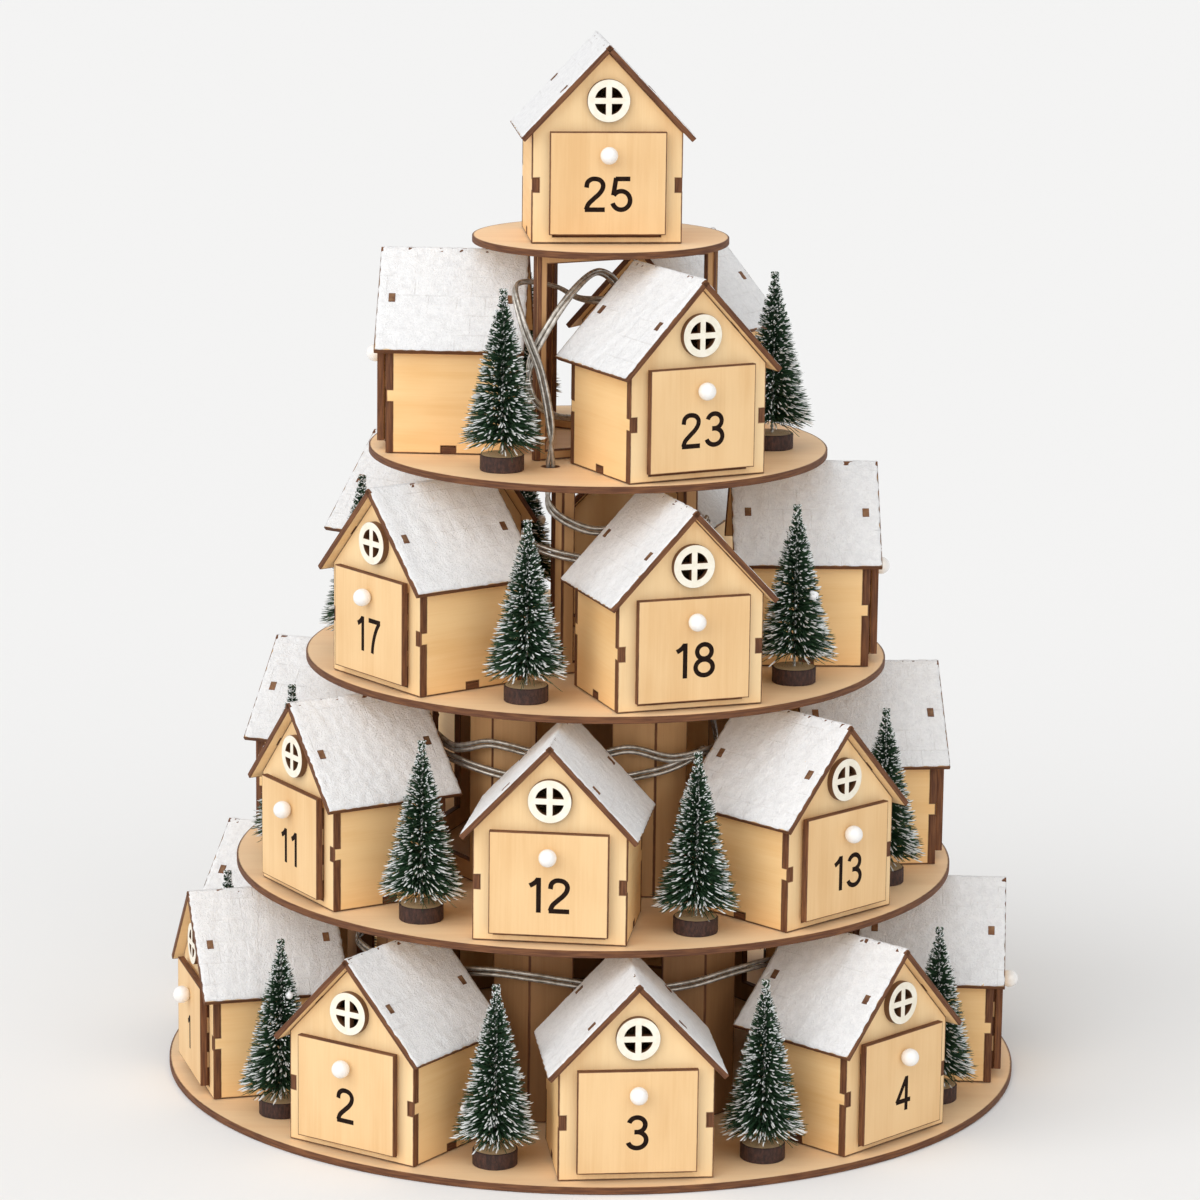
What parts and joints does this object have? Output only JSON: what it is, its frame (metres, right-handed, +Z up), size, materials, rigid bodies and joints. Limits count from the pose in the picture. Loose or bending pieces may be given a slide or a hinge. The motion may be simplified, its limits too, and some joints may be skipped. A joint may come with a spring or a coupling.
{
  "type": "village advent calendar",
  "caption": "Five-storey round plywood tower of small snowy-roofed houses, each with a numbered pull-out drawer for a gift, set among bottle-brush trees.",
  "frame": {"origin": "centre of the base disc's underside", "axes": "+Z up along the tower's axis, -Y towards the front"},
  "size_m": [0.3872, 0.3865, 0.4669],
  "materials": {
    "floor_ply": "satin",
    "core_ply": "matte",
    "house_ply": "satin",
    "drawer_ply": "satin",
    "burnt_edge": "matte",
    "snow_roof": "matte",
    "window_white": "satin",
    "knob_white": "glossy",
    "number_dark": "matte",
    "tree_bristle": "matte",
    "tree_stem": "satin",
    "branch_slice": "matte",
    "clear_string": "glossy",
    "battery_case": "matte"
  },
  "bodies": {
    "tower": {"light_string": "clear_string", "tier_1_disc": "floor_ply", "tier_2_disc": "floor_ply", "tier_3_disc": "floor_ply", "tier_4_disc": "floor_ply", "tier_5_disc": "floor_ply", "core_frame_1": "core_ply", "core_frame_2": "core_ply", "core_frame_3": "core_ply", "core_frame_4": "core_ply", "house_01": "house_ply", "house_02": "house_ply", "house_03": "house_ply", "house_04": "house_ply", "house_05": "house_ply", "house_06": "house_ply", "house_07": "house_ply", "house_08": "house_ply", "house_09": "house_ply", "house_10": "house_ply", "house_11": "house_ply", "house_12": "house_ply", "house_13": "house_ply", "house_14": "house_ply", "house_15": "house_ply", "house_16": "house_ply", "house_17": "house_ply", "house_18": "house_ply", "house_19": "house_ply", "house_20": "house_ply", "house_21": "house_ply", "house_22": "house_ply", "house_23": "house_ply", "house_24": "house_ply", "house_25": "house_ply"},
    "drawer_01_body": {"drawer_01": "drawer_ply"},
    "drawer_02_body": {"drawer_02": "drawer_ply"},
    "drawer_03_body": {"drawer_03": "drawer_ply"},
    "drawer_04_body": {"drawer_04": "drawer_ply"},
    "drawer_05_body": {"drawer_05": "drawer_ply"},
    "drawer_06_body": {"drawer_06": "drawer_ply"},
    "drawer_07_body": {"drawer_07": "drawer_ply"},
    "drawer_08_body": {"drawer_08": "drawer_ply"},
    "drawer_09_body": {"drawer_09": "drawer_ply"},
    "drawer_10_body": {"drawer_10": "drawer_ply"},
    "drawer_11_body": {"drawer_11": "drawer_ply"},
    "drawer_12_body": {"drawer_12": "drawer_ply"},
    "drawer_13_body": {"drawer_13": "drawer_ply"},
    "drawer_14_body": {"drawer_14": "drawer_ply"},
    "drawer_15_body": {"drawer_15": "drawer_ply"},
    "drawer_16_body": {"drawer_16": "drawer_ply"},
    "drawer_17_body": {"drawer_17": "drawer_ply"},
    "drawer_18_body": {"drawer_18": "drawer_ply"},
    "drawer_19_body": {"drawer_19": "drawer_ply"},
    "drawer_20_body": {"drawer_20": "drawer_ply"},
    "drawer_21_body": {"drawer_21": "drawer_ply"},
    "drawer_22_body": {"drawer_22": "drawer_ply"},
    "drawer_23_body": {"drawer_23": "drawer_ply"},
    "drawer_24_body": {"drawer_24": "drawer_ply"},
    "drawer_25_body": {"drawer_25": "drawer_ply"}
  },
  "joints": [
    {"name": "drawer_01_slide", "type": "slide", "parent": "tower", "child": "drawer_01_body", "axis": [-0.9603, -0.279, 0], "range_m": [0, 0.04]},
    {"name": "drawer_02_slide", "type": "slide", "parent": "tower", "child": "drawer_02_body", "axis": [-0.5563, -0.831, 0], "range_m": [0, 0.04]},
    {"name": "drawer_03_slide", "type": "slide", "parent": "tower", "child": "drawer_03_body", "axis": [0.108, -0.9942, 0], "range_m": [0, 0.04]},
    {"name": "drawer_04_slide", "type": "slide", "parent": "tower", "child": "drawer_04_body", "axis": [0.7218, -0.6921, 0], "range_m": [0, 0.04]},
    {"name": "drawer_05_slide", "type": "slide", "parent": "tower", "child": "drawer_05_body", "axis": [0.9978, -0.0663, 0], "range_m": [0, 0.04]},
    {"name": "drawer_06_slide", "type": "slide", "parent": "tower", "child": "drawer_06_body", "axis": [0.807, 0.5906, 0], "range_m": [0, 0.04]},
    {"name": "drawer_07_slide", "type": "slide", "parent": "tower", "child": "drawer_07_body", "axis": [0.2385, 0.9711, 0], "range_m": [0, 0.04]},
    {"name": "drawer_08_slide", "type": "slide", "parent": "tower", "child": "drawer_08_body", "axis": [-0.4415, 0.8973, 0], "range_m": [0, 0.04]},
    {"name": "drawer_09_slide", "type": "slide", "parent": "tower", "child": "drawer_09_body", "axis": [-0.915, 0.4035, 0], "range_m": [0, 0.04]},
    {"name": "drawer_10_slide", "type": "slide", "parent": "tower", "child": "drawer_10_body", "axis": [-0.9415, 0.3371, 0], "range_m": [0, 0.04]},
    {"name": "drawer_11_slide", "type": "slide", "parent": "tower", "child": "drawer_11_body", "axis": [-0.8505, -0.5259, 0], "range_m": [0, 0.04]},
    {"name": "drawer_12_slide", "type": "slide", "parent": "tower", "child": "drawer_12_body", "axis": [-0.1191, -0.9929, 0], "range_m": [0, 0.04]},
    {"name": "drawer_13_slide", "type": "slide", "parent": "tower", "child": "drawer_13_body", "axis": [0.702, -0.7122, 0], "range_m": [0, 0.04]},
    {"name": "drawer_14_slide", "type": "slide", "parent": "tower", "child": "drawer_14_body", "axis": [0.9945, 0.1048, 0], "range_m": [0, 0.04]},
    {"name": "drawer_15_slide", "type": "slide", "parent": "tower", "child": "drawer_15_body", "axis": [0.5381, 0.8429, 0], "range_m": [0, 0.04]},
    {"name": "drawer_16_slide", "type": "slide", "parent": "tower", "child": "drawer_16_body", "axis": [-0.3234, 0.9462, 0], "range_m": [0, 0.04]},
    {"name": "drawer_17_slide", "type": "slide", "parent": "tower", "child": "drawer_17_body", "axis": [-0.7912, -0.6115, 0], "range_m": [0, 0.04]},
    {"name": "drawer_18_slide", "type": "slide", "parent": "tower", "child": "drawer_18_body", "axis": [0.3371, -0.9415, 0], "range_m": [0, 0.04]},
    {"name": "drawer_19_slide", "type": "slide", "parent": "tower", "child": "drawer_19_body", "axis": [0.9996, 0.0297, 0], "range_m": [0, 0.04]},
    {"name": "drawer_20_slide", "type": "slide", "parent": "tower", "child": "drawer_20_body", "axis": [0.2807, 0.9598, 0], "range_m": [0, 0.04]},
    {"name": "drawer_21_slide", "type": "slide", "parent": "tower", "child": "drawer_21_body", "axis": [-0.8261, 0.5635, 0], "range_m": [0, 0.04]},
    {"name": "drawer_22_slide", "type": "slide", "parent": "tower", "child": "drawer_22_body", "axis": [-0.9991, 0.0419, 0], "range_m": [0, 0.04]},
    {"name": "drawer_23_slide", "type": "slide", "parent": "tower", "child": "drawer_23_body", "axis": [0.4633, -0.8862, 0], "range_m": [0, 0.04]},
    {"name": "drawer_24_slide", "type": "slide", "parent": "tower", "child": "drawer_24_body", "axis": [0.5358, 0.8443, 0], "range_m": [0, 0.04]},
    {"name": "drawer_25_slide", "type": "slide", "parent": "tower", "child": "drawer_25_body", "axis": [0.0941, -0.9956, 0], "range_m": [0, 0.04]}
  ]
}
